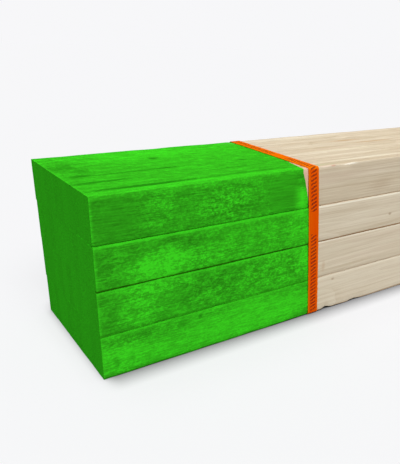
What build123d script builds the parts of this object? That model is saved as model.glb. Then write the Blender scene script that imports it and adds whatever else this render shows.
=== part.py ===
from build123d import *
from random import Random
import os

# Bundle of survey lath: sawn wooden strips stacked on edge and held by two plastic straps.
# X runs along the laths, with the end that is dipped in paint at -X. Y is across the bundle,
# with the laps of the straps at +Y, and Z is up. The origin is on the floor, under the middle
# of the bundle. Sizes are in millimetres and angles in degrees.

# the laths
lath_length = 1219.2
lath_width = 38.1
lath_thickness = 11.2
arris_round = 0.6
laths_per_row = 12

# how the laths lie: the gap between the laths of the lowest row and its growth with each row up,
# how unevenly their ends meet, and how the ends of the whole bundle are out of square, with the
# top reaching further to the painted end and the far side less far
side_gap = 0.3
gap_growth = 0.12
end_scatter = 0.6
scatter_seed = 11
end_lean_angle = 2.8
end_slant_angle = 1.0

# some rows are sawn wider than others, and some stand back from the near side
wide_row_extra = 1.0
row_setback = 0.8

# each row from the floor up: its name, and its share of that extra width and of that setback
rows = [
    ("lath_row_1", 0.0, 0.6),
    ("lath_row_2", 1.0, 0.6),
    ("lath_row_3", -1.2, 0.0),
    ("lath_row_4", 0.0, 1.0),
]

# the straps, whose ends are lapped and welded at the far side
strap_width = 12.7
strap_thickness = 0.8
strap_from_end = 228.6
lap_length = 76.0
lap_height = 70.0

# each strap: its name, the side of the bundle's middle that it lies on, how many degrees its top
# leans back to the painted end, and how many its far side slants away from that end
straps = [
    ("strap_painted_end", -1, 7.0, 6.0),
    ("strap_plain_end", 1, -0.8, 0.6),
]

stack_width = laths_per_row * (lath_thickness + side_gap)
stack_height = len(rows) * lath_width


# a slab that stands across the laths at the middle of X, out of square by a lean and a slant,
# and much larger than the bundle's section: what it cuts out has ends that run parallel
def make_slab(thickness, lean, slant):
    middle = Pos(0, stack_width / 2, stack_height / 2)
    return middle * Rotation(0, -lean, -slant) * Box(thickness, 3 * stack_width, 3 * stack_height)


# one row of laths on edge, side by side, with their lower edges at one height
def make_row(row, floor, width, setback, scatter):
    pitch = lath_thickness + side_gap + row * gap_growth
    profile = RectangleRounded(lath_thickness, width, arris_round)
    slab = make_slab(lath_length, end_lean_angle, end_slant_angle)
    laths = []
    for column in range(laths_per_row):
        middle = Pos(setback + lath_thickness / 2 + column * pitch, floor + width / 2)
        long_lath = extrude(Plane.YZ * middle * profile, lath_length, both=True)
        laths.append(long_lath & (Pos(scatter.uniform(0, end_scatter), 0, 0) * slab))
    return Compound(laths)


# the line round the section of the stack that a band drawn tight takes
def tight_outline(stack):
    blocks = []
    for row in stack:
        box = row.bounding_box()
        blocks.append(Pos(box.center().Y, box.center().Z) * Rectangle(box.size.Y, box.size.Z))
    outline = make_hull(Sketch(blocks).edges())
    return offset(offset(outline, -arris_round), arris_round)


# one strap, standing at the middle of X: a band on that outline, with a second layer for the lap
def make_strap(outline, lean, slant):
    box = outline.bounding_box()
    band = offset(outline, strap_thickness)
    lap_window = Pos(box.max.X, box.min.Y + lap_height) * Rectangle(box.size.X, lap_length)
    lap = offset(outline, 2 * strap_thickness) & lap_window
    sleeve = extrude(Plane.YZ * (band + lap - outline), stack_width / 2, both=True)
    return sleeve & make_slab(strap_width, lean, slant)


parts = {}
scatter = Random(scatter_seed)
floor = 0
for row, (name, extra_share, setback_share) in enumerate(rows):
    width = lath_width + wide_row_extra * extra_share
    parts[name] = make_row(row, floor, width, row_setback * setback_share, scatter)
    floor += width

outline = tight_outline(list(parts.values()))
for name, side, lean, slant in straps:
    from_middle = side * (lath_length / 2 - strap_from_end)
    parts[name] = Pos(from_middle, 0, 0) * make_strap(outline, lean, slant)

# everything moves together, to stand centred on the origin
whole = Compound(list(parts.values())).bounding_box()
centring = Pos(-whole.center().X, -whole.center().Y, -whole.min.Z)

os.makedirs("parts", exist_ok=True)
for name, part in parts.items():
    export_step(centring * part, "parts/" + name + ".step")
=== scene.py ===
import math
import random
import bmesh
import bpy
from mathutils import Matrix, Vector, noise


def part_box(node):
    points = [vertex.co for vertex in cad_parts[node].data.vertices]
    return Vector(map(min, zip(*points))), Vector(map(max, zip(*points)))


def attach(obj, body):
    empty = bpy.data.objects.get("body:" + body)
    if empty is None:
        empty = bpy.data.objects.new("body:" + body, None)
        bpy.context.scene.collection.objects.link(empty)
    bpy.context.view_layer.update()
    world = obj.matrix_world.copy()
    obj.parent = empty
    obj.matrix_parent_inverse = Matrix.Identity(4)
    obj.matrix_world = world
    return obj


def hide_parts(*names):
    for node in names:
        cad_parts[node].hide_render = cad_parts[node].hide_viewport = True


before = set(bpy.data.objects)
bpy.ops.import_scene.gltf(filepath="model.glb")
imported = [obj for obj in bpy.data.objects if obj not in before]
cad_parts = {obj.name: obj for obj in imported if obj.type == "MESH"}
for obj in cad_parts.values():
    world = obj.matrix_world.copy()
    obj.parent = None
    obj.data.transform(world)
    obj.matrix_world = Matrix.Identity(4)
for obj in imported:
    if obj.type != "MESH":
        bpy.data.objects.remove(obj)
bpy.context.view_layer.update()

# Looks for a strapped bundle of survey lath with one painted end. All lengths are in metres.
# X runs along the laths with the painted end at -X, -Y is the near side, Z is up.
mm = 0.001
smoothAngle = math.radians(40)    # edges sharper than this stay crisp


def smooth(low, high, value):
    t = min(max((value - low) / (high - low), 0.0), 1.0)
    return t * t * (3.0 - 2.0 * t)


def onlyThis(piece):
    bpy.ops.object.select_all(action="DESELECT")
    piece.select_set(True)
    bpy.context.view_layer.objects.active = piece


def pickEdges(piece, test):
    # in edit mode, selects only the edges whose two ends pass the test
    mesh = bmesh.from_edit_mesh(piece.data)
    for part in [*mesh.faces, *mesh.edges, *mesh.verts]:
        part.select = False
    for edge in mesh.edges:
        if test(edge.verts[0].co, edge.verts[1].co):
            edge.select = True
    mesh.select_flush_mode()
    bmesh.update_edit_mesh(piece.data)


def openEdit(piece, kind):
    # enters edit mode with all of the piece selected
    onlyThis(piece)
    bpy.ops.object.mode_set(mode="EDIT")
    bpy.ops.mesh.select_mode(type=kind)
    bpy.ops.mesh.select_all(action="SELECT")


def closeEdit():
    # leaves edit mode with all faces pointing outwards
    bpy.ops.mesh.select_all(action="SELECT")
    bpy.ops.mesh.normals_make_consistent(inside=False)
    bpy.ops.object.mode_set(mode="OBJECT")


def addObject(name, data):
    piece = bpy.data.objects.new(name, data)
    bpy.context.scene.collection.objects.link(piece)
    return piece


def applyModifier(piece, kind, **settings):
    modifier = piece.modifiers.new(kind.title(), kind)
    for key, value in settings.items():
        setattr(modifier, key, value)
    onlyThis(piece)
    bpy.ops.object.modifier_apply(modifier=modifier.name)


def addAttribute(piece, name, kind, field, values):
    # gives each corner of the piece a value that its material reads
    attribute = piece.data.attributes.new(name, kind, "POINT")
    attribute.data.foreach_set(field, values)


def readIslands(node):
    # the lowest and highest corner of each loose part of a CAD node, from the near side on
    shell = bmesh.new()
    shell.from_mesh(node.data)
    bmesh.ops.remove_doubles(shell, verts=shell.verts, dist=0.000002)
    left = set(shell.verts)
    boxes = []
    while left:
        island = [left.pop()]
        for vert in island:
            for edge in vert.link_edges:
                other = edge.other_vert(vert)
                if other in left:
                    left.remove(other)
                    island.append(other)
        low = Vector([min(v.co[axis] for v in island) for axis in range(3)])
        high = Vector([max(v.co[axis] for v in island) for axis in range(3)])
        boxes.append((low, high))
    shell.free()
    return sorted(boxes, key=lambda box: box[0].y)


def cornersOf(name):
    return [vert.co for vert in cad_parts[name].data.vertices]


def fitPlane(points):
    # the plane x = a + b*y + c*z through the points, and half the depth that they take
    count = len(points)
    mean = sum(points, Vector()) / count

    def shared(i, j):
        return sum((p[i] - mean[i]) * (p[j] - mean[j]) for p in points)

    sxy, sxz, syy, syz, szz = [shared(*pair) for pair in ((0, 1), (0, 2), (1, 1), (1, 2), (2, 2))]
    whole = syy * szz - syz * syz
    b = (sxy * szz - sxz * syz) / whole
    c = (sxz * syy - sxy * syz) / whole
    offsets = [p.x - b * p.y - c * p.z for p in points]
    return (min(offsets) + max(offsets)) / 2, b, c, (max(offsets) - min(offsets)) / 2


print("reading the CAD frame")
rowNames = ["lath_row_1", "lath_row_2", "lath_row_3", "lath_row_4"]
strapNames = ["strap_painted_end", "strap_plain_end"]
lathBoxes = {name: readIslands(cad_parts[name]) for name in rowNames}
bandPlanes = {name: fitPlane(cornersOf(name)) for name in strapNames}
# how far the painted end slants across the bundle, and leans with height
paintedCorners = [corner for name in rowNames for corner in cornersOf(name) if corner.x < -0.5]
endSlant, endLean = fitPlane(paintedCorners)[1:3]
stackLow = Vector([min(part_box(name)[0][axis] for name in rowNames) for axis in range(3)])
stackHigh = Vector([max(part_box(name)[1][axis] for name in rowNames) for axis in range(3)])
print("laths", sum(len(boxes) for boxes in lathBoxes.values()), "planes", bandPlanes)


def turn(a, b, c):
    # more than 0 where the way from a over b to c turns left
    return (b[0] - a[0]) * (c[1] - a[1]) - (b[1] - a[1]) * (c[0] - a[0])


def halfHull(ordered):
    line = []
    for point in ordered:
        while len(line) > 1 and turn(line[-2], line[-1], point) <= 1e-9:
            line.pop()
        line.append(point)
    return line[:-1]


def sectionHull():
    # the line that a tight band takes round the rows, as corners in (y, z), counter-clockwise
    points = []
    for name in rowNames:
        low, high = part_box(name)
        points += [(low.y, low.z), (high.y, low.z), (high.y, high.z), (low.y, high.z)]
    points = sorted(set(points))
    return halfHull(points) + halfHull(points[::-1])


hull = sectionHull()

# laths: one outer and one inner lath are modelled, then copied to each place
lathLook = {
    "arris": 0.35 * mm,           # rounding of the long edges
    "cutsWide": 7,                # cuts across the broad faces of the outer laths
    "cutsNarrow": 2,              # and across their narrow ones
    "ringStep": 12 * mm,          # spacing of the outer laths' rings in the plain length,
    "paintedStep": 7 * mm,        # in the paint, up to the strap,
    "paintedReach": 190 * mm,
    "endStep": 2.5 * mm,          # at the painted and the plain end,
    "endReach": (12 * mm, 20 * mm),
    "strapStep": 3.2 * mm,        # and beside the straps
    "strapReach": 34 * mm,
    "innerStep": 60 * mm,         # ring spacing of the laths inside the bundle
    "wobble": 0.16 * mm,          # how far the sawn faces wander inwards
    "arrisWear": 0.35 * mm,       # how far the arrises are rubbed away in places
    "endSkew": 0.25 * mm,         # how far out of square the ends are sawn
    "sawMarks": 0.08 * mm,        # how rough the sawn ends are
    "sag": 0.62 * mm,             # how far the bundle hangs below the straps' level
    "sagReach": (6 * mm, 90 * mm),      # where that starts beside a strap, and is full
    "crush": 0.55 * mm,           # how far the straps bite into the outer corners
    "crushReach": (0.5 * mm, 5 * mm),   # round a corner, from full to nothing
    "crushWidth": (6 * mm, 13 * mm),    # and along the laths
    "grainSeed": 5,
    "endStagger": 0.25,           # share of the CAD's uneven ends that shows under the paint
    "openSeams": (0, 2, 4, 8),    # gaps on the top that stay open, counted from the near side
    "openShare": 0.05,            # how much of such a gap each lath beside it swells into
    "closedShare": 0.43,          # and of the other gaps
    "sealedShare": 0.49,          # and of every gap where the paint fills it
    "sealedReach": 7 * mm,        # how far from the painted end the paint fills the gaps
    "paintedTopShade": 0.22,             # painted shade: how much darker and greyer the wood's top is drawn, to tone down the light on it
    "rowToneAndBounceLight": (1.15, 0.78, 0.82, 0.5),  # how light the wood of the near side is, row by row: each row's own tone, and painted bounce light from the floor that makes the rows lighter towards it
}

# chips torn out of arrises: row, column, side of y, side of z, distance from the painted end,
# half length and depth in mm
chips = [
    (3, 0, -1, 1, 259, 12, 1.5),
    (3, 0, -1, 1, 233, 5, 0.8),
    (3, 0, -1, 1, 219, 6, 0.9),
    (3, 0, -1, -1, 0, 5, 1.6),
    (0, 0, -1, -1, 250, 6, 2.0),
    (0, 0, -1, -1, 291, 6, 1.7),
    (3, 11, 1, 1, 655, 14, 1.5),
    (0, 11, 1, -1, 890, 9, 1.3),
    (3, 5, 1, 1, 1214, 8, 1.3),
    (3, 8, -1, 1, 2, 4, 1.0),
]


def ringPlaces(length, straps):
    # where the rings of an outer lath lie: close at the ends, the straps and the chips
    endStart, endFinish = lathLook["endReach"]
    places = [0.0]
    while places[-1] < length:
        here = places[-1]
        step = lathLook["ringStep"]
        if here < lathLook["paintedReach"]:
            step = lathLook["paintedStep"]
        if here < endStart or here > length - endFinish:
            step = lathLook["endStep"]
        if any(abs(here - strap) < lathLook["strapReach"] for strap in straps):
            step = lathLook["strapStep"]
        places.append(here + step)
    # an even number of lengths, because they are first cut in two
    if len(places) % 2 == 0:
        places.append(places[-1] + step)
    scale = length / places[-1]
    return [place * scale for place in places]


def makeLathMaster(name, size, rings, cutsWide, cutsNarrow, arrisSteps):
    length, thickness, width = size
    bpy.ops.object.select_all(action="DESELECT")
    bpy.ops.mesh.primitive_cube_add(size=1, location=(0, 0, 0))
    lath = bpy.context.active_object
    lath.name = name
    lath.data.transform(Matrix.Translation((0.5, 0, 0.5)))
    lath.data.transform(Matrix.Diagonal((length, thickness, width, 1)))
    openEdit(lath, "EDGE")
    near = 1e-6
    pickEdges(lath, lambda a, b: abs(a.z - b.z) > near)
    bpy.ops.mesh.subdivide(number_cuts=cutsWide)
    if cutsNarrow:
        pickEdges(lath, lambda a, b: abs(a.y - b.y) > near)
        bpy.ops.mesh.subdivide(number_cuts=cutsNarrow)
    # in two steps, because one makes no more than 100 cuts
    for pieces in (2, (len(rings) - 1) // 2):
        pickEdges(lath, lambda a, b: abs(a.x - b.x) > near)
        bpy.ops.mesh.subdivide(number_cuts=pieces - 1)
    mesh = bmesh.from_edit_mesh(lath.data)
    for vert in mesh.verts:
        vert.co.x = rings[round(vert.co.x / length * (len(rings) - 1))]
    bmesh.update_edit_mesh(lath.data)

    def onCorner(point):
        return abs(abs(point.y) - thickness / 2) < near and min(point.z, width - point.z) < near

    pickEdges(lath, lambda a, b: onCorner(a) and onCorner(b) and abs(a.x - b.x) > near)
    bpy.ops.mesh.bevel(offset=lathLook["arris"], segments=arrisSteps, affect="EDGES")
    closeEdit()
    return lath


strapPlaces = [bandPlanes[name][0] - stackLow.x for name in strapNames]
topLow, topHigh = lathBoxes["lath_row_4"][0]
lowestLow, lowestHigh = lathBoxes["lath_row_1"][0]
nominalLength = topHigh.x - topLow.x
nominalSize = (nominalLength, lowestHigh.y - lowestLow.y, lowestHigh.z - lowestLow.z)
outerRings = ringPlaces(nominalLength, strapPlaces)
innerCount = 2 * round(nominalLength / lathLook["innerStep"] / 2)
innerRings = [nominalLength * i / innerCount for i in range(innerCount + 1)]
outerMaster = makeLathMaster(
    "outerLathMaster", nominalSize, outerRings, lathLook["cutsWide"], lathLook["cutsNarrow"], 2
)
innerMaster = makeLathMaster("innerLathMaster", nominalSize, innerRings, 2, 1, 1)
print("lath masters", len(outerMaster.data.polygons), len(innerMaster.data.polygons), "faces")


def acrossBand(point, plane):
    # distance along X from the middle plane of a strap
    a, b, c = plane[:3]
    return point.x - a - b * point.y - c * point.z


def sagAt(x):
    # nothing at the straps, most at the painted end and between the straps
    toStrap = min(abs(x - plane[0]) for plane in bandPlanes.values())
    return lathLook["sag"] * smooth(*lathLook["sagReach"], toStrap)


def crushed(point):
    # the straps press the corners of the bundle inwards
    gap = min(abs(acrossBand(point, plane)) for plane in bandPlanes.values())
    if gap > lathLook["crushWidth"][1]:
        return point
    middleZ = (stackLow.z + stackHigh.z) / 2
    for y, z in hull:
        reach = (Vector((0, point.y, point.z)) - Vector((0, y, z))).length
        if reach < lathLook["crushReach"][1]:
            inward = Vector((0, math.copysign(1, -y), math.copysign(1, middleZ - z))).normalized()
            amount = lathLook["crush"] * (1 - smooth(*lathLook["crushReach"], reach))
            return point + inward * (amount * (1 - smooth(*lathLook["crushWidth"], gap)))
    return point


# brightness and mottle of the paint on each face, before the patches below; the brightness differs
# face by face as painted light and shade for how each face is lit
paintFaceShadeAndMottle = {"side": (0.4, 0.44), "top": (0.54, 0.3), "end": (0.72, 0.06), "other": (0.45, 0.45)}

# patches of it, listed: face, middle along the laths from the painted end and across (height or y),
# half sizes in mm, how soft the rim is, and what it adds to the brightness and to the mottle. On
# the end, the middle is given by height and y.
paintPatches = [
    ("side", 15, 134, 17, 18, 0.5, -0.12, -0.3),
    ("side", 52, 136, 12, 16, 0.7, 0.14, 0.25),
    ("side", 117, 134, 26, 15, 0.7, 0.14, 0.45),
    ("side", 180, 134, 17, 20, 0.4, -0.08, -0.4),
    ("side", 203, 122, 9, 13, 0.35, 0.75, -0.3),
    ("side", 52, 90, 26, 13, 0.7, 0.55, 0.2),
    ("side", 90, 86, 22, 8, 0.8, 0.16, 0.2),
    ("side", 12, 98, 15, 14, 0.5, -0.05, 0.1),
    ("side", 75, 106, 20, 6, 0.6, -0.1, 0.1),
    ("side", 150, 96, 60, 20, 0.6, 0.19, 0.05),
    ("side", 205, 94, 16, 20, 0.6, 0.22, 0.0),
    ("side", 35, 56, 18, 17, 0.7, 0.32, 0.2),
    ("side", 58, 72, 28, 5, 0.7, 0.25, 0.3),
    ("side", 115, 56, 38, 15, 0.6, 0.02, 0.25),
    ("side", 180, 58, 34, 16, 0.6, 0.14, 0.3),
    ("side", 215, 66, 13, 12, 0.6, 0.4, 0.0),
    ("side", 110, 18, 150, 20, 0.4, 0.34, -0.16),
    ("side", 40, 31, 38, 7, 0.6, -0.24, 0.2),
    ("side", 16, 18, 15, 18, 0.7, 0.16, 0.15),
    ("side", 115, 33, 18, 5, 0.6, -0.14, 0.1),
    ("side", 170, 15, 60, 14, 0.6, 0.1, 0.0),
    ("side", 140, 144, 66, 9, 0.7, 0.13, 0.0),
    ("side", 130, 46, 80, 7, 0.7, 0.09, 0.0),
    ("side", 218, 50, 12, 10, 0.7, 0.14, 0.0),
    ("top", 110, -66, 130, 8, 0.7, 0.12, 0.0),
    ("top", 66, 52, 74, 24, 0.6, 0.17, 0.0),
    ("top", 180, 56, 60, 22, 0.7, 0.08, 0.0),
    ("top", 15, 28, 18, 26, 0.8, -0.12, 0.2),
    ("top", 150, 30, 80, 40, 0.9, 0.08, 0.0),
    ("end", 70, 0, 90, 90, 0.3, -0.04, -0.1),
]
patchStart = -0.6096              # where the distances along the laths start


def paintLevel(face, along, across):
    # brightness and mottle of the paint at a place on one of its faces
    # painted light and shade: each face starts from its own brightness
    level, mottle = paintFaceShadeAndMottle[face]
    for patchFace, x, y, halfX, halfY, soft, addLevel, addMottle in paintPatches:
        if patchFace == face:
            reach = math.hypot((along - x) / halfX, (across - y) / halfY)
            share = 1 - smooth(1 - soft, 1 + soft, reach)
            level += addLevel * share
            mottle += addMottle * share
    return min(max(level, 0), 1), min(max(mottle, 0), 1)


def drawLath(row, column, box, gaps, seed):
    # all that sets one lath apart from the others
    draw = random.Random(seed)
    shift = [draw.uniform(-3, 3), draw.uniform(-0.05, 0.05), draw.uniform(-0.05, 0.05)]
    tone = 0.25 + 0.7 * draw.random()
    skew = [draw.uniform(-1, 1) for index in range(4)]
    return {
        "row": row, "column": column, "low": box[0], "high": box[1], "size": box[1] - box[0],
        "gaps": gaps, "seed": seed, "shift": shift, "tone": tone, "skew": skew,
        "chips": [chip[2:] for chip in chips if chip[:2] == (row, column)],
    }


# the painted ends lie nearly in one leaning plane, which just stays inside the CAD's reach
commonStart = stackLow.x - endSlant * stackLow.y - endLean * stackHigh.z

# In the next functions, u runs along a lath from 0 to 1, v across it from -0.5 at the near face
# to 0.5 at the far one, and w from 0 at its lower edge to 1 at its upper one.


def squareLath(lath, u, v, w, sealed):
    # the lath as it was sawn, with both ends parallel to the bundle's leaning end plane
    low, high, size = lath["low"], lath["high"], lath["size"]
    fills = []
    for side, gap in enumerate(lath["gaps"]):
        isOpen = lath["column"] - 1 + side in lathLook["openSeams"]
        share = lathLook["openShare"] if isOpen else lathLook["closedShare"]
        fills.append(gap * (share + (lathLook["sealedShare"] - share) * sealed))
    y = low.y - fills[0] + (v + 0.5) * (size.y + fills[0] + fills[1])
    point = Vector((0, y, low.z + w * size.z))
    start = low.x + endSlant * (point.y - low.y) + endLean * (point.z - high.z)
    finish = high.x + endSlant * (point.y - high.y) + endLean * (point.z - low.z)
    flush = commonStart + endSlant * point.y + endLean * point.z
    start = flush + lathLook["endStagger"] * (start - flush)
    point.x = start + u * (finish - start)
    return point


def wearFaces(lath, point, v, w, sealed):
    # long waves and short ripples in the sawn faces, and arrises rubbed away in places
    seed = lath["seed"]
    slow = noise.noise(Vector((point.x * 9, v * 2 + seed, w * 2)))
    quick = noise.noise(Vector((point.x * 60, v * 9 + seed, w * 14)))
    inward = lathLook["wobble"] * (0.5 + 0.35 * slow + 0.3 * quick) * (1 - 0.9 * sealed)
    edge = smooth(0.34, 0.5, abs(v)) * smooth(0.42, 0.5, abs(w - 0.5))
    worn = noise.noise(Vector((point.x * 34 + seed, v * 3, w * 3)))
    wear = edge * lathLook["arrisWear"] * max(worn + 0.15, 0) * (1 - sealed)
    point.y -= math.copysign(smooth(0.3, 0.5, abs(v)), v) * (inward + wear)
    point.z -= math.copysign(smooth(0.4, 0.5, abs(w - 0.5)), w - 0.5) * (0.6 * inward + wear)


def skewEnds(lath, point, u, v, w):
    # each end is a little out of square, and rough from the saw, for the last 3 mm of the lath
    skew, length = lath["skew"], lath["size"].x
    saw = lathLook["sawMarks"] * noise.noise(Vector((v * 4 + lath["seed"], w * 30, 3)))
    painted = 1 - smooth(0.0, 3 * mm, u * length)
    plain = 1 - smooth(0.0, 3 * mm, (1 - u) * length)
    for share, acrossSkew, upSkew in [(painted, skew[0], skew[1]), (-plain, skew[2], skew[3])]:
        tilt = 0.5 + 0.25 * (acrossSkew * v * 2 + upSkew * (w - 0.5) * 2)
        point.x += share * (lathLook["endSkew"] * tilt + saw)


def chipAway(lath, point):
    low, high = lath["low"], lath["high"]
    for sideY, sideZ, along, half, depth in lath["chips"]:
        cornerY = high.y if sideY > 0 else low.y
        cornerZ = high.z if sideZ > 0 else low.z
        corner = Vector((low.x + along * mm, cornerY, cornerZ))
        gapX = (point.x - corner.x) / (half * mm)
        gapIn = math.hypot(point.y - corner.y, (point.z - corner.z) * 0.7) / (depth * 2.2 * mm)
        bite = max(1 - gapX * gapX, 0) * max(1 - gapIn, 0)
        bite *= 0.8 + 0.5 * noise.noise(Vector((point.x * 400, lath["seed"], 1)))
        point.y -= sideY * depth * mm * bite * 0.7
        point.z -= sideZ * depth * mm * bite


def lathPoint(lath, u, v, w):
    sealed = 1 - smooth(0.4, 1.0, u * lath["size"].x / lathLook["sealedReach"])
    point = squareLath(lath, u, v, w, sealed)
    wearFaces(lath, point, v, w, sealed)
    skewEnds(lath, point, u, v, w)
    chipAway(lath, point)
    point.x = max(point.x, stackLow.x)
    share = (point.z - stackLow.z) / (stackHigh.z - stackLow.z)
    point.z -= sagAt(point.x) * (1 - share)
    return point


def lathTones(lath, point, u, v, w):
    # brightness and mottle of the paint there, and tone of the wood, with painted shade on its top
    # and painted bounce light on its near side
    along = (point.x - patchStart) / mm
    onNear, onTop = v < -0.45, w > 0.985
    if u * lath["size"].x < 0.3 * mm:
        level, mottle = paintLevel("end", point.z / mm, point.y / mm)
        level += 0.1 * (lath["tone"] - 0.6)
    elif onTop:
        level, mottle = paintLevel("top", along, point.y / mm)
    else:
        level, mottle = paintLevel("side" if onNear else "other", along, point.z / mm)
    shade = lath["tone"]
    if onNear and lath["column"] == 0:
        # the near side's wood: each row's own tone, with painted bounce light from the floor
        shade = lathLook["rowToneAndBounceLight"][lath["row"]]
    elif onTop:
        # painted shade: the top faces are drawn darker
        shade -= lathLook["paintedTopShade"]
    return [level, mottle, shade, 1.0]


def placeLath(master, name, lath):
    mesh = master.data.copy()
    mesh.name = name
    piece = addObject(name, mesh)
    tones = []
    for vert in mesh.vertices:
        u, v, w = [vert.co[axis] / nominalSize[axis] for axis in range(3)]
        point = lathPoint(lath, u, v, w)
        tones += lathTones(lath, point, u, v, w)
        vert.co = crushed(point)
    addAttribute(piece, "paintMap", "FLOAT_COLOR", "color", tones)
    addAttribute(piece, "grainShift", "FLOAT_VECTOR", "vector", lath["shift"] * len(mesh.vertices))
    onlyThis(piece)
    bpy.ops.object.shade_smooth_by_angle(angle=smoothAngle)
    return piece


laths = []
seed = lathLook["grainSeed"]
for row, rowName in enumerate(rowNames):
    boxes = lathBoxes[rowName]
    last = len(boxes) - 1
    for column, box in enumerate(boxes):
        seed += 1
        below = box[0].y - boxes[column - 1][1].y if column > 0 else 0
        above = boxes[column + 1][0].y - box[1].y if column < last else 0
        outside = row in (0, len(rowNames) - 1) or column in (0, last)
        master = outerMaster if outside else innerMaster
        lathName = "lath_%d_%02d" % (row + 1, column + 1)
        lath = placeLath(master, lathName, drawLath(row, column, box, (below, above), seed))
        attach(lath, "root")
        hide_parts(rowName)
        laths.append(lath)
bpy.data.objects.remove(outerMaster)
bpy.data.objects.remove(innerMaster)
print("laths placed", len(laths))

# straps: a tight band with soft bends, and its welded lap on the far side
strapLook = {
    "thickness": 0.62 * mm,
    "bend": 1.7 * mm,             # inner radius where it turns round the corners
    "bendSteps": 5,
    "runStep": 9 * mm,            # mesh spacing along the straight runs
    "cutsAcross": 3,              # cuts across its width
    "edgeRound": 0.18 * mm,
    "clear": 0.05 * mm,           # room between the strap and the laths
    "ribs": 7,                    # welding ribs pressed into the lap
    "ribSpan": 0.36,              # share of the lap that they cover
    "ribDepth": 0.1 * mm,
    "lapLift": 0.12 * mm,         # how far the lap stands off where it isn't welded
    "weldStart": (0.12, 0.2),     # shares of the lap's height where the weld begins
    "weldEnd": (0.42, 0.5),       # and ends
}


def farLine(z):
    # where the far run of the band lies at a height
    tiny = 1e-9
    far = stackHigh.y
    for index, (y0, z0) in enumerate(hull):
        y1, z1 = hull[(index + 1) % len(hull)]
        spans = min(z0, z1) - tiny <= z <= max(z0, z1) + tiny
        if spans and min(y0, y1) > 0 and abs(z1 - z0) > 1e-6:
            far = y0 + (y1 - y0) * (z - z0) / (z1 - z0)
    return far


def lapReach(name):
    # the CAD strap is thickest along its lap, which gives the lap's lowest and highest point
    heights = []
    for corner in cornersOf(name):
        level = min(max(corner.z, stackLow.z), stackHigh.z)
        if corner.y - farLine(level) > 1.2 * mm:
            heights.append(corner.z)
    return min(heights) + 0.5 * mm, max(heights) - 0.5 * mm


def makeBand(name, width):
    # the inner face of the band, standing straight from X = 0 on
    bpy.ops.object.select_all(action="DESELECT")
    bpy.ops.mesh.primitive_circle_add(vertices=len(hull), fill_type="NOTHING")
    band = bpy.context.active_object
    band.name = "visual_" + name
    for vert, (y, z) in zip(band.data.vertices, hull):
        vert.co = Vector((0, y, z))
    openEdit(band, "VERT")
    bpy.ops.mesh.bevel(offset=strapLook["bend"], segments=strapLook["bendSteps"], affect="VERTICES")
    bpy.ops.mesh.select_all(action="SELECT")
    bpy.ops.mesh.extrude_region_move(TRANSFORM_OT_translate={"value": (width, 0, 0)})
    bpy.ops.mesh.select_mode(type="EDGE")
    near = 1e-6
    longest = 1.6 * strapLook["runStep"]
    for halving in range(6):
        pickEdges(band, lambda p, q: abs(p.x - q.x) < near and (p - q).length > longest)
        bpy.ops.mesh.subdivide(number_cuts=1)
    pickEdges(band, lambda p, q: abs(p.x - q.x) > near)
    bpy.ops.mesh.subdivide(number_cuts=strapLook["cutsAcross"])
    closeEdit()
    middle = (stackLow + stackHigh) / 2
    outward = sum(
        (face.center - middle).dot(Vector((0, face.normal.y, face.normal.z))) * face.area
        for face in band.data.polygons
    )
    if outward < 0:
        band.data.flip_normals()
    openEdit(band, "EDGE")
    bpy.ops.transform.shrink_fatten(value=strapLook["clear"])
    bpy.ops.object.mode_set(mode="OBJECT")
    return band


def makeLap(name, width):
    # the outer layer on the far side, pressed down where it is welded and loose at its tip
    lapLow, lapHigh = lapReach(name)
    ribTurns = 2 * math.pi * strapLook["ribs"]
    bpy.ops.object.select_all(action="DESELECT")
    bpy.ops.mesh.primitive_grid_add(x_subdivisions=4, y_subdivisions=60, size=1)
    layer = bpy.context.active_object
    layer.name = "lapLayer"
    for vert in layer.data.vertices:
        share = vert.co.y + 0.5
        z = lapLow + share * (lapHigh - lapLow)
        y = farLine(z) + strapLook["clear"] + strapLook["thickness"]
        weld = smooth(*strapLook["weldStart"], share) * (1 - smooth(*strapLook["weldEnd"], share))
        pastStart = share - strapLook["weldStart"][0]
        ribs = 0.5 + 0.5 * math.cos(ribTurns * pastStart / strapLook["ribSpan"])
        y += strapLook["lapLift"] * (1 - weld) - strapLook["ribDepth"] * weld * ribs
        vert.co = Vector(((vert.co.x + 0.5) * width, y, z))
    openEdit(layer, "FACE")
    closeEdit()
    if layer.data.polygons[0].normal.y < 0:
        layer.data.flip_normals()
    return layer


def leanWithBand(piece, name):
    # slides the straight piece into the leaning plane of the CAD strap
    a, b, c, half = bandPlanes[name]
    for vert in piece.data.vertices:
        vert.co.x += a - half + b * vert.co.y + c * vert.co.z


def keepInBox(piece, low, high):
    for vert in piece.data.vertices:
        for axis in range(3):
            vert.co[axis] = min(max(vert.co[axis], low[axis]), high[axis])


def mapBand(strap, name):
    # for the strap's material: distance along the band, from the far lower corner up and over the
    # top, then across it, and off the tight line
    first = max(range(len(hull)), key=lambda index: hull[index][0] - hull[index][1])
    corners = hull[first:] + hull[:first]
    runs = []
    start = 0.0
    for (y0, z0), (y1, z1) in zip(corners, corners[1:] + corners[:1]):
        length = math.hypot(y1 - y0, z1 - z0)
        runs.append((start, length, y0, z0, y1 - y0, z1 - z0))
        start += length
    values = []
    for vert in strap.data.vertices:
        best = None
        for start, length, y0, z0, stepY, stepZ in runs:
            t = ((vert.co.y - y0) * stepY + (vert.co.z - z0) * stepZ) / (length * length)
            t = min(max(t, 0), 1)
            off = math.hypot(vert.co.y - y0 - t * stepY, vert.co.z - z0 - t * stepZ)
            if best is None or off < best[1] - 1e-9:
                best = (start + t * length, off)
        values += [best[0], acrossBand(vert.co, bandPlanes[name]), best[1]]
    addAttribute(strap, "strapPlace", "FLOAT_VECTOR", "vector", values)


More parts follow.
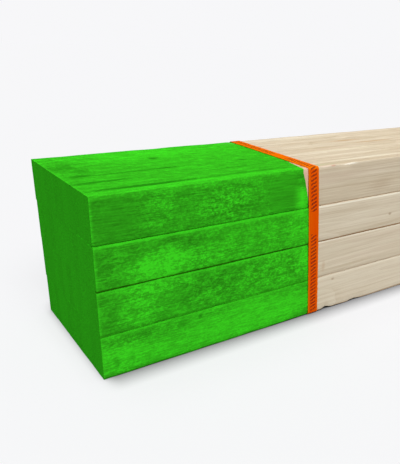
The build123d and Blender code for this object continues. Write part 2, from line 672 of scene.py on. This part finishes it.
straps = []
for name in strapNames:
    width = 2 * bandPlanes[name][3]
    strap = makeBand(name, width)
    lap = makeLap(name, width)
    onlyThis(strap)
    lap.select_set(True)
    bpy.ops.object.join()
    thickness = strapLook["thickness"]
    applyModifier(strap, "SOLIDIFY", thickness=thickness, offset=1.0, use_even_offset=True)
    applyModifier(
        strap, "BEVEL", width=strapLook["edgeRound"], segments=2, limit_method="ANGLE",
        angle_limit=math.radians(50),
    )
    leanWithBand(strap, name)
    keepInBox(strap, *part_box(name))
    mapBand(strap, name)
    onlyThis(strap)
    bpy.ops.object.shade_smooth_by_angle(angle=smoothAngle)
    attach(strap, "root")
    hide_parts(name)
    straps.append(strap)
    print(strap.name, len(strap.data.polygons), "faces")


def newMaterial(name):
    material = bpy.data.materials.new(name)
    material.use_nodes = True
    material.node_tree.nodes.clear()
    return material, material.node_tree


def put(tree, kind, inputs=None, **settings):
    # adds a shader node, sets its options, and sets or links its inputs
    node = tree.nodes.new("ShaderNode" + kind)
    for key, value in settings.items():
        setattr(node, key, value)
    for key, value in (inputs or {}).items():
        socket = node.inputs[key]
        if isinstance(value, bpy.types.NodeSocket):
            tree.links.new(value, socket)
        else:
            socket.default_value = value
    return node


def maths(tree, operation, first, second=0.0, clamp=False):
    inputs = {0: first, 1: second}
    return put(tree, "Math", inputs, operation=operation, use_clamp=clamp).outputs[0]


def plus(tree, first, *others):
    for other in others:
        first = maths(tree, "ADD", first, other)
    return first


def minus(tree, first, second):
    return maths(tree, "SUBTRACT", first, second)


def times(tree, first, *others):
    for other in others:
        first = maths(tree, "MULTIPLY", first, other)
    return first


def swing(tree, value, size):
    # turns a pattern from 0 to 1 into one from minus to plus half the size
    return times(tree, minus(tree, value, 0.5), size)


def blendColours(tree, share, first, second, blend="MIX"):
    # each colour is a socket, or its red, green and blue
    inputs = {"Factor": share}
    for key, colour in ((6, first), (7, second)):
        inputs[key] = (*colour, 1) if isinstance(colour, tuple) else colour
    return put(tree, "Mix", inputs, data_type="RGBA", blend_type=blend).outputs[2]


def ramp(tree, value, low, middle, high):
    # runs through the three colours as the value goes from 0 to 1
    node = put(tree, "ValToRGB", {0: value})
    stops = node.color_ramp.elements
    stops.new(0.5)
    for stop, colour in zip(stops, (low, middle, high)):
        stop.color = (*colour, 1)
    return node.outputs[0]


def spread(tree, value, low, high, toLow=0.0, toHigh=1.0, soft=True):
    inputs = {"Value": value, "From Min": low, "From Max": high, "To Min": toLow, "To Max": toHigh}
    kind = "SMOOTHSTEP" if soft else "LINEAR"
    return put(tree, "MapRange", inputs, interpolation_type=kind).outputs[0]


def stretchedNoise(tree, place, scale, detail=3.0, roughness=0.55):
    mapping = put(tree, "Mapping", {"Vector": place, "Scale": scale})
    inputs = {"Vector": mapping.outputs[0], "Scale": 1.0, "Detail": detail, "Roughness": roughness}
    return put(tree, "TexNoise", inputs).outputs["Fac"]


def finishSurface(tree, look, colour, roughness, height):
    bump = put(tree, "Bump", {
        "Height": height, "Strength": look["bump"], "Distance": look["bumpDepth"],
    })
    shader = put(tree, "BsdfPrincipled", {
        "Base Color": colour, "Roughness": roughness, "Normal": bump.outputs[0],
        "Specular IOR Level": 0.0,
    })
    put(tree, "OutputMaterial", {0: shader.outputs[0]})


woodLook = {
    "light": (0.90, 0.80, 0.625),
    "dark": (0.63, 0.50, 0.335),
    "pink": (0.74, 0.56, 0.42),
    "pinkShare": 0.28,            # how pink the broad streaks get
    "fresh": (0.97, 0.50, 0.36),  # the clean wood that the paint and the strap left bare
    "freshShare": 0.55,
    # scale of each layer of the grain along, across and up the laths, its detail and roughness,
    # and how much it does to the tone
    "fibre": ((14, 1150, 1150), 3.0, 0.6, 1.35),
    "streak": ((7, 330, 330), 3.0, 0.6, 1.05),
    "broad": ((3, 75, 75), 2.0, 0.55, 0.6),
    "ringSpacing": 4.2 * mm,
    "ringWeight": 0.25,
    "toneWeight": 0.55,           # how much the laths differ from each other
    "roughness": 0.8,
    "bump": 0.35,
    "bumpDepth": 0.3 * mm,
}
paintLook = {
    "dark": (0.024, 0.265, 0.0075),
    "middle": (0.041, 0.50, 0.013),
    "bright": (0.062, 0.88, 0.020),
    "roughness": 0.62,
    "lines": (60, 950, 950),      # scale of the streaks where it sank in along the grain,
    "flecks": (330, 560, 560),    # of its crisp flecks,
    "clouds": (85, 150, 150),     # and of its clouds
    "fleckStrength": 0.5,
    "cloudStrength": 0.42,
    "underStrap": 0.8 * mm,       # how far it runs in under the strap
    "edgeSoftness": 0.25 * mm,
    "edgeWander": 0.6 * mm,       # how unevenly it ends along the strap
    "bareWedge": 5.6 * mm,        # the unpainted wedge beside the strap on the top row
    "bareHeight": 34 * mm,        # the height over which that wedge opens
    "bareReach": 36 * mm,         # how far over the top it runs
}

# colours of the marks below
darkGreenAndSeamShade = (0.018, 0.25, 0.006)
creamAndHighlight = (0.96, 0.89, 0.70)
knotBrown = (0.42, 0.28, 0.16)

# marks on single laths: middle and half sizes in mm, softness, colour and strength. Some are
# painted shade and painted highlights, as noted below
marks = [
    ((-279, -71, 92), (2.6, 3, 1.6), 0.7, knotBrown, 0.6),
    ((-355, -71, 33), (2.4, 3, 1.5), 0.7, knotBrown, 0.5),
    ((-371, -71, 50), (2.5, 3, 6), 0.9, (0.62, 0.42, 0.24), 0.4),
    ((-300, -71, 126), (17, 3, 7), 0.9, (0.56, 0.42, 0.28), 0.35),
    # painted shadow: dark marks in the chips along the bottom edge, by the floor
    ((-364, -71, 0.8), (5, 4, 1.6), 0.5, (0.12, 0.10, 0.09), 0.85),
    ((-323, -71, 0.8), (5, 4, 1.3), 0.5, (0.12, 0.10, 0.09), 0.75),
    ((-350, -70.6, 152.6), (11, 2.2, 1.4), 0.35, (0.98, 0.92, 0.78), 0.85),
    ((-381, -70.6, 152.6), (7, 1.6, 1.0), 0.4, (0.92, 0.74, 0.60), 0.7),
    ((-372, -70.6, 152.6), (3, 1.6, 1.0), 0.4, (0.75, 0.36, 0.25), 0.5),
    ((-517, -71, 33.5), (2.5, 3, 2), 0.7, darkGreenAndSeamShade, 0.7),
    ((-596, -71, 12), (3.5, 3, 7), 0.8, darkGreenAndSeamShade, 0.45),
    ((-582, -71, 14), (2.5, 3, 4), 0.8, darkGreenAndSeamShade, 0.35),
    ((-535, -71, 32), (5, 3, 6), 0.8, darkGreenAndSeamShade, 0.4),
    ((-411, -71, 38), (3, 3, 1.5), 0.8, darkGreenAndSeamShade, 0.5),
    ((-412, -71, 102), (7, 3, 4), 0.8, darkGreenAndSeamShade, 0.25),
    ((-511, 27, 153), (6, 4.6, 2), 0.8, darkGreenAndSeamShade, 0.9),
    ((-601, 24, 153), (13, 14, 2), 0.9, darkGreenAndSeamShade, 0.42),
    ((-590, 5, 153), (8, 12, 2), 0.9, darkGreenAndSeamShade, 0.5),
    ((-570, 50, 153), (12, 5, 2), 0.9, darkGreenAndSeamShade, 0.25),
    # painted shade: dark lines along the open gaps between the painted top's laths
    ((-598, -11, 153), (12, 4, 2), 0.8, darkGreenAndSeamShade, 0.9),
    ((-546, -12.5, 153), (44, 2.6, 2), 0.9, darkGreenAndSeamShade, 0.65),
    ((-517, -12, 153), (10, 2.6, 2), 0.8, darkGreenAndSeamShade, 0.5),
    ((-435, -13, 153), (5, 4, 2), 0.8, darkGreenAndSeamShade, 0.6),
    ((-590, -33.5, 153), (36, 2.3, 2), 0.7, darkGreenAndSeamShade, 0.85),
    ((-450, -35, 153), (28, 1.4, 2), 0.9, darkGreenAndSeamShade, 0.3),
    ((-562, -57.5, 153), (60, 2.3, 2), 0.5, darkGreenAndSeamShade, 0.95),
    ((-466, -57, 153), (56, 2.2, 2), 0.8, darkGreenAndSeamShade, 0.65),
    # painted highlight: a bright line along the top's near edge
    ((-500, -64, 153), (120, 3, 2), 0.7, (0.056, 0.80, 0.018), 0.4),
    # painted highlights: the narrow pale lines at -57, -36 and -14 lie on the raised lath edges of
    # the bare top
    ((-310, -57, 153), (75, 3, 2), 0.8, creamAndHighlight, 0.6),
    ((-310, -36, 153), (75, 2.5, 2), 0.8, creamAndHighlight, 0.5),
    ((-300, 60, 153), (80, 9, 2), 0.9, creamAndHighlight, 0.45),
    ((-296, -14, 153), (60, 2.6, 2), 0.8, (0.97, 0.87, 0.64), 0.65),
    ((-300, -47, 153), (80, 2.5, 2), 0.9, (0.70, 0.60, 0.44), 0.3),
    ((-226, 8, 153), (36, 3.0, 2), 0.8, (0.64, 0.40, 0.21), 0.75),
    ((-256, 24, 153), (26, 4.2, 2), 0.9, (0.62, 0.40, 0.22), 0.75),
]

# lines where the rows meet on the near side, drawn as painted shade and painted highlight: the row
# above, how much the painted shade line under it is darkened, its half width, and how pale the
# painted highlight on the lip below it is. Under the lowest row the line is painted contact shadow
# against the floor
seamShadeLines = [
    ("lath_row_4", 0.5, 0.55 * mm, 1.0),
    ("lath_row_3", 1.0, 0.9 * mm, 0.6),
    ("lath_row_2", 0.25, 1.6 * mm, 0.35),
    ("lath_row_1", 0.6, 0.8 * mm, 0.0),
]
# where the painted shade lines and painted highlight lips of the seams lie, and their colours
seamLook = {
    "lineHeight": 0.35 * mm,      # the dark line's middle, from the lower edge of the row above
    "shadeLineColour": (0.5, 0.3, 0.16),
    "lipHeight": -1.2 * mm,
    "lipHalf": (0.4 * mm, 1.1 * mm),    # the lip's half width, from full to nothing
    "highlightLipColour": (1.0, 0.93, 0.76),
    "lipOnPaint": 0.45,           # how much of the lip shows on the paint
    "nearDepth": 2.5 * mm,        # how deep behind the near side both reach
}


waveRate = 3.18                   # rings for each metre that a wave texture draws at scale 1


def growthRings(tree, grainPlace):
    # rings about a wandering pith, so that broad faces show long arches
    lift = swing(tree, stretchedNoise(tree, grainPlace, (3.2, 9, 9), detail=2.0), 0.05)
    lifted = put(tree, "CombineXYZ", {0: 0.0, 1: lift, 2: lift}).outputs[0]
    place = put(tree, "VectorMath", {0: grainPlace, 1: lifted}, operation="ADD")
    scale = 1 / woodLook["ringSpacing"] / waveRate
    return put(tree, "TexWave", {
        "Vector": place.outputs[0], "Scale": scale, "Distortion": 1.5, "Detail": 2.0,
        "Detail Scale": 0.6, "Detail Roughness": 0.5,
    }, wave_type="RINGS", rings_direction="X", wave_profile="SAW").outputs["Fac"]


def woodColour(tree, grainPlace, tone):
    # the colour of the bare wood, and its fibre for the bump
    share = 0.5
    layers = {}
    for layer in ("fibre", "streak", "broad"):
        scale, detail, roughness, weight = woodLook[layer]
        layers[layer] = stretchedNoise(tree, grainPlace, scale, detail, roughness)
        share = plus(tree, share, swing(tree, layers[layer], weight))
    rings = growthRings(tree, grainPlace)
    share = plus(tree, share, swing(tree, rings, woodLook["ringWeight"]))
    share = maths(tree, "ADD", share, swing(tree, tone, woodLook["toneWeight"]), clamp=True)
    wood = blendColours(tree, share, woodLook["dark"], woodLook["light"])
    pinkish = spread(tree, layers["broad"], 0.52, 0.72)
    pinkish = times(tree, pinkish, woodLook["pinkShare"])
    return blendColours(tree, pinkish, wood, woodLook["pink"]), layers["fibre"]


def paintColour(tree, grainPlace, level, mottle):
    # the colour of the paint, with its flecks and the lines of the grain for other uses
    lines = stretchedNoise(tree, grainPlace, paintLook["lines"], 2.0, 0.6)
    flecks = stretchedNoise(tree, grainPlace, paintLook["flecks"], 3.0, 0.7)
    clouds = stretchedNoise(tree, grainPlace, paintLook["clouds"], 4.0, 0.75)
    crisp = spread(tree, flecks, 0.46, 0.56, -0.5, 0.5)
    patchy = spread(tree, clouds, 0.45, 0.58, -0.5, 0.5)
    crisp = times(tree, crisp, paintLook["fleckStrength"])
    patchy = times(tree, patchy, paintLook["cloudStrength"])
    rough = times(tree, plus(tree, crisp, patchy), mottle)
    amount = plus(tree, level, rough, minus(tree, lines, 0.5))
    paint = ramp(tree, amount, paintLook["dark"], paintLook["middle"], paintLook["bright"])
    return paint, flecks, lines


def distanceFromStrap(tree, x, y, z):
    # along the laths, from where the paint ends under the strap, less than 0 in the paint
    a, b, c, half = bandPlanes["strap_painted_end"]
    leaning = plus(tree, times(tree, y, b), times(tree, z, c))
    return minus(tree, minus(tree, x, leaning), a - half + paintLook["underStrap"])


def paintedShare(tree, place, y, z, fromStrap):
    # the paint stops along the strap's painted side, apart from a bare wedge on the top row
    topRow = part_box("lath_row_4")[0].z
    onTopRow = spread(tree, z, topRow, topRow + paintLook["bareHeight"], soft=False)
    onTopRow = maths(tree, "POWER", onTopRow, 1.5)
    nearEdge = stackLow.y + 1 * mm, stackLow.y + paintLook["bareReach"]
    nearSide = spread(tree, y, *nearEdge, 1, 0, soft=False)
    widest = paintLook["bareWedge"] + paintLook["underStrap"]
    wedge = times(tree, onTopRow, nearSide, widest)
    uneven = swing(tree, stretchedNoise(tree, place, (160, 260, 260)), 2 * paintLook["edgeWander"])
    edge = plus(tree, fromStrap, wedge, uneven)
    return spread(tree, edge, -paintLook["edgeSoftness"], paintLook["edgeSoftness"], 1, 0)


def addMarks(tree, place, flecks, colour):
    for middle, halfSizes, softness, markColour, strength in marks:
        local = put(tree, "Mapping", {
            "Vector": place, "Location": [value * mm for value in middle],
            "Scale": [value * mm for value in halfSizes],
        }, vector_type="TEXTURE").outputs[0]
        reach = put(tree, "VectorMath", {0: local}, operation="LENGTH").outputs["Value"]
        reach = plus(tree, reach, swing(tree, flecks, 1.2))
        cover = spread(tree, reach, 1 - softness, 1 + 0.5 * softness, strength, 0)
        colour = blendColours(tree, cover, colour, markColour)
    return colour


def addSeamShadeAndHighlight(tree, y, z, painted, colour):
    # the meeting rows show as a dark line of painted shade under each row's edge, with a pale lip
    # of painted highlight below it
    nearFace = maths(tree, "LESS_THAN", y, stackLow.y + seamLook["nearDepth"])
    lipShows = spread(tree, painted, 0, 1, 1, seamLook["lipOnPaint"], soft=False)
    highlightLipColour = blendColours(tree, painted, seamLook["highlightLipColour"], paintLook["bright"])
    for rowName, dark, halfWidth, pale in seamShadeLines:
        height = minus(tree, z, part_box(rowName)[0].z)
        offLine = maths(tree, "ABSOLUTE", minus(tree, height, seamLook["lineHeight"]))
        # painted shade line under the row's edge, painted highlight on the lip below
        seamShade = spread(tree, offLine, halfWidth * 0.3, halfWidth * 1.25, dark, 0)
        seamShade = times(tree, seamShade, nearFace)
        offLip = maths(tree, "ABSOLUTE", minus(tree, height, seamLook["lipHeight"]))
        lipHighlight = spread(tree, offLip, *seamLook["lipHalf"], pale, 0)
        lipHighlight = times(tree, lipHighlight, nearFace, lipShows)
        colour = blendColours(tree, seamShade, colour, seamLook["shadeLineColour"], "MULTIPLY")
        colour = blendColours(tree, lipHighlight, colour, highlightLipColour)
    return colour


def makeLathMaterial():
    material, tree = newMaterial("sawnLathWithPaint")
    place = put(tree, "TexCoord").outputs["Object"]
    x, y, z = put(tree, "SeparateXYZ", {0: place}).outputs
    paintMap = put(tree, "Attribute", attribute_name="paintMap").outputs["Color"]
    level, mottle, tone = put(tree, "SeparateColor", {0: paintMap}).outputs
    shift = put(tree, "Attribute", attribute_name="grainShift").outputs["Vector"]
    grainPlace = put(tree, "VectorMath", {0: place, 1: shift}, operation="ADD").outputs[0]
    wood, fibre = woodColour(tree, grainPlace, tone)
    paint, flecks, lines = paintColour(tree, grainPlace, level, mottle)

    fromStrap = distanceFromStrap(tree, x, y, z)
    fresh = spread(tree, fromStrap, -0.4 * mm, 0.4 * mm, woodLook["freshShare"], 0)
    wood = blendColours(tree, fresh, wood, woodLook["fresh"])
    painted = paintedShare(tree, place, y, z, fromStrap)
    colour = blendColours(tree, painted, wood, paint)
    colour = addMarks(tree, place, flecks, colour)
    colour = addSeamShadeAndHighlight(tree, y, z, painted, colour)

    height = plus(tree, fibre, times(tree, lines, 0.6))
    dull = spread(tree, painted, 0, 1, woodLook["roughness"], paintLook["roughness"], soft=False)
    finishSurface(tree, woodLook, colour, dull, height)
    return material


plasticLook = {
    "colour": (0.93, 0.088, 0.0005),
    "light": (0.97, 0.21, 0.002),
    "mark": (0.10, 0.006, 0.012),
    "rimHighlight": (4.9 * mm, 5.9 * mm),  # off its middle line, where the painted highlight along its edges starts and is full
    "rimHighlightShare": 0.9,
    "topHighlight": 0.75,             # painted highlight: how far its top, where it runs over the bundle, is drawn in the light colour
    "topHighlightDepth": 2 * mm,
    "roughness": 0.42,
    "bump": 0.25,
    "bumpDepth": 0.1 * mm,
    "barWidth": 1.75 * mm,        # the printed bars: width, spacing, height and slant
    "barSpacing": 3.8 * mm,
    "barHeight": 7.0 * mm,
    "barSlant": 0.35,
    "barSmudge": 2.6 * mm,        # how unevenly they are printed
    "barWorn": (0.35, 0.8),       # how much ink is left in the worn places, and in the others
    "groupStart": 38 * mm,        # where their groups start, how far apart, and how full they are
    "groupPeriod": 107 * mm,
    "groupShare": 0.785,
}


def printedBars(tree, place, along, across):
    # a plain row of slanted bars down the middle, in groups
    slid = plus(tree, along, times(tree, across, plasticLook["barSlant"]))
    smudge = stretchedNoise(tree, place, (230, 190, 1), detail=2.0)
    slid = plus(tree, slid, swing(tree, smudge, plasticLook["barSmudge"]))
    step = maths(tree, "FRACT", maths(tree, "DIVIDE", slid, plasticLook["barSpacing"]))
    bar = maths(tree, "LESS_THAN", step, plasticLook["barWidth"] / plasticLook["barSpacing"])
    group = minus(tree, along, plasticLook["groupStart"])
    group = maths(tree, "FRACT", maths(tree, "DIVIDE", group, plasticLook["groupPeriod"]))
    group = maths(tree, "LESS_THAN", group, plasticLook["groupShare"])
    offMiddle = maths(tree, "ABSOLUTE", across)
    middle = maths(tree, "LESS_THAN", offMiddle, plasticLook["barHeight"] / 2)
    ink = stretchedNoise(tree, place, (700, 700, 1))
    ink = spread(tree, ink, 0.3, 0.6, *plasticLook["barWorn"])
    return times(tree, bar, group, middle, ink)


def makeStrapMaterial():
    material, tree = newMaterial("orangeStrapPlastic")
    place = put(tree, "Attribute", attribute_name="strapPlace").outputs["Vector"]
    along, across = put(tree, "SeparateXYZ", {0: place}).outputs[:2]
    lines = stretchedNoise(tree, place, (30, 2600, 1), detail=2.0)
    cloud = stretchedNoise(tree, place, (60, 200, 1), detail=2.0)
    shade = plus(tree, times(tree, lines, 0.6), times(tree, cloud, 0.6))
    offMiddle = maths(tree, "ABSOLUTE", across)
    # painted highlight: the strap's edges are drawn lighter
    rimHighlight = spread(tree, offMiddle, *plasticLook["rimHighlight"], 0, plasticLook["rimHighlightShare"])
    shade = maths(tree, "ADD", minus(tree, shade, 0.45), rimHighlight, clamp=True)
    colour = blendColours(tree, shade, plasticLook["colour"], plasticLook["light"])
    partPlace = put(tree, "TexCoord").outputs["Object"]
    up = put(tree, "SeparateXYZ", {0: partPlace}).outputs[2]
    # painted highlight: the top of the strap is drawn lighter
    topHighlightLow = stackHigh.z - plasticLook["topHighlightDepth"]
    topHighlight = spread(tree, up, topHighlightLow, stackHigh.z, 0, plasticLook["topHighlight"])
    colour = blendColours(tree, topHighlight, colour, plasticLook["light"])
    bars = printedBars(tree, place, along, across)
    colour = blendColours(tree, bars, colour, plasticLook["mark"])
    finishSurface(tree, plasticLook, colour, plasticLook["roughness"], lines)
    return material


print("materials")
for pieces, material in [(laths, makeLathMaterial()), (straps, makeStrapMaterial())]:
    for piece in pieces:
        piece.data.materials.clear()
        piece.data.materials.append(material)

stageLook = {
    "floorSeen": (0.93, 0.93, 0.945),   # what the camera sees of floor and world
    "contactReach": 21 * mm,            # width of the painted contact shadow round the bundle
    "contactStrength": (0.1, 1.3),      # its strength before the painted end, and elsewhere
    "contactBlend": 20 * mm,            # the length over which it grows
    "floorGlow": 0.8,                   # share of that colour which no shadow or tint reaches
    "floorBounce": 0.34,                # how much light the floor sends back to the bundle
    "floorSize": 60.0,
    "worldLight": 0.24,
    # the lamps: name, direction, strength, and how many degrees of the sky each takes
    "suns": [
        ("keySun", (-0.10, -0.62, 0.77), 2.1, 30),
        ("skySun", (-0.12, 0.20, 0.97), 0.8, 28),
    ],
    "lightOnFloor": 1.01,               # the floor's brightness per unit of its colour
}


def seenDirectly(tree):
    # 1 where the camera sees the floor or the world, also in gloss and through glass
    rays = put(tree, "LightPath").outputs
    seen = maths(tree, "MAXIMUM", rays["Is Camera Ray"], rays["Is Glossy Ray"])
    return maths(tree, "MAXIMUM", seen, rays["Is Transmission Ray"])


def makeFloor():
    bpy.ops.object.select_all(action="DESELECT")
    bpy.ops.mesh.primitive_plane_add(size=stageLook["floorSize"], location=(0, 0, 0))
    floor = bpy.context.active_object
    floor.name = "paleFloor"
    material, tree = newMaterial("paleFloorPaint")
    glow = stageLook["floorGlow"]
    lit = [value * (1 - glow) / stageLook["lightOnFloor"] for value in stageLook["floorSeen"]]
    shaded = put(tree, "BsdfDiffuse", {"Color": (*lit, 1)})
    steady = put(tree, "Emission", {0: (*stageLook["floorSeen"], 1), 1: glow})
    pale = put(tree, "AddShader", {0: shaded.outputs[0], 1: steady.outputs[0]})

    # a soft painted contact shadow where the bundle meets the floor, darkened by ambient occlusion
    # and fainter before its painted end
    contact = put(tree, "AmbientOcclusion", {"Distance": stageLook["contactReach"]})
    place = put(tree, "TexCoord").outputs["Object"]
    along = put(tree, "SeparateXYZ", {0: place}).outputs[0]
    blendEnd = stackLow.x + stageLook["contactBlend"]
    strength = spread(tree, along, stackLow.x, blendEnd, *stageLook["contactStrength"])
    paintedContactShadow = minus(tree, 1.0, contact.outputs["AO"])
    paintedContactShadow = times(tree, paintedContactShadow, strength)
    inTheOpen = maths(tree, "SUBTRACT", 1.0, paintedContactShadow, clamp=True)
    dark = put(tree, "BsdfDiffuse", {"Color": (0, 0, 0, 1)})
    rimmed = put(tree, "MixShader", {0: inTheOpen, 1: dark.outputs[0], 2: pale.outputs[0]})
    dull = put(tree, "BsdfDiffuse", {"Color": (*[stageLook["floorBounce"]] * 3, 1)})
    seen = seenDirectly(tree)
    both = put(tree, "MixShader", {0: seen, 1: dull.outputs[0], 2: rimmed.outputs[0]})
    put(tree, "OutputMaterial", {0: both.outputs[0]})
    floor.data.materials.append(material)


def makeWorld():
    world = bpy.data.worlds.new("paleWorld")
    bpy.context.scene.world = world
    world.use_nodes = True
    tree = world.node_tree
    tree.nodes.clear()
    light = put(tree, "Background", {0: (1, 1, 1, 1), 1: stageLook["worldLight"]})
    pale = put(tree, "Background", {0: (*stageLook["floorSeen"], 1), 1: 1.0})
    seen = seenDirectly(tree)
    both = put(tree, "MixShader", {0: seen, 1: light.outputs[0], 2: pale.outputs[0]})
    put(tree, "OutputWorld", {0: both.outputs[0]})


def makeSun(name, direction, strength, angle):
    lamp = bpy.data.lights.new(name, "SUN")
    lamp.energy = strength
    lamp.angle = math.radians(angle)
    sun = addObject(name, lamp)
    sun.rotation_euler = Vector(direction).to_track_quat("Z", "Y").to_euler()
    sun.location = Vector(direction) * 3


# the camera stands where the photograph's perspective puts it
cameraLook = {
    "place": (-0.74966, -0.41686, 0.25747),
    "right": (0.83840, -0.54424, 0.02972),
    "up": (0.15733, 0.29386, 0.94281),
    "back": (-0.52185, -0.78578, 0.33200),
    "lens": 41.771,
}


def makeCamera():
    data = bpy.data.cameras.new("photoCamera")
    data.lens = cameraLook["lens"]
    data.sensor_width = 36
    data.clip_start, data.clip_end = 0.01, 200
    camera = addObject("photoCamera", data)
    axes = Matrix((cameraLook["right"], cameraLook["up"], cameraLook["back"])).transposed()
    camera.matrix_world = Matrix.Translation(cameraLook["place"]) @ axes.to_4x4()
    bpy.context.scene.camera = camera


print("floor, light and camera")
makeFloor()
makeWorld()
for sun in stageLook["suns"]:
    makeSun(*sun)
makeCamera()
bpy.context.scene.view_settings.view_transform = "Standard"
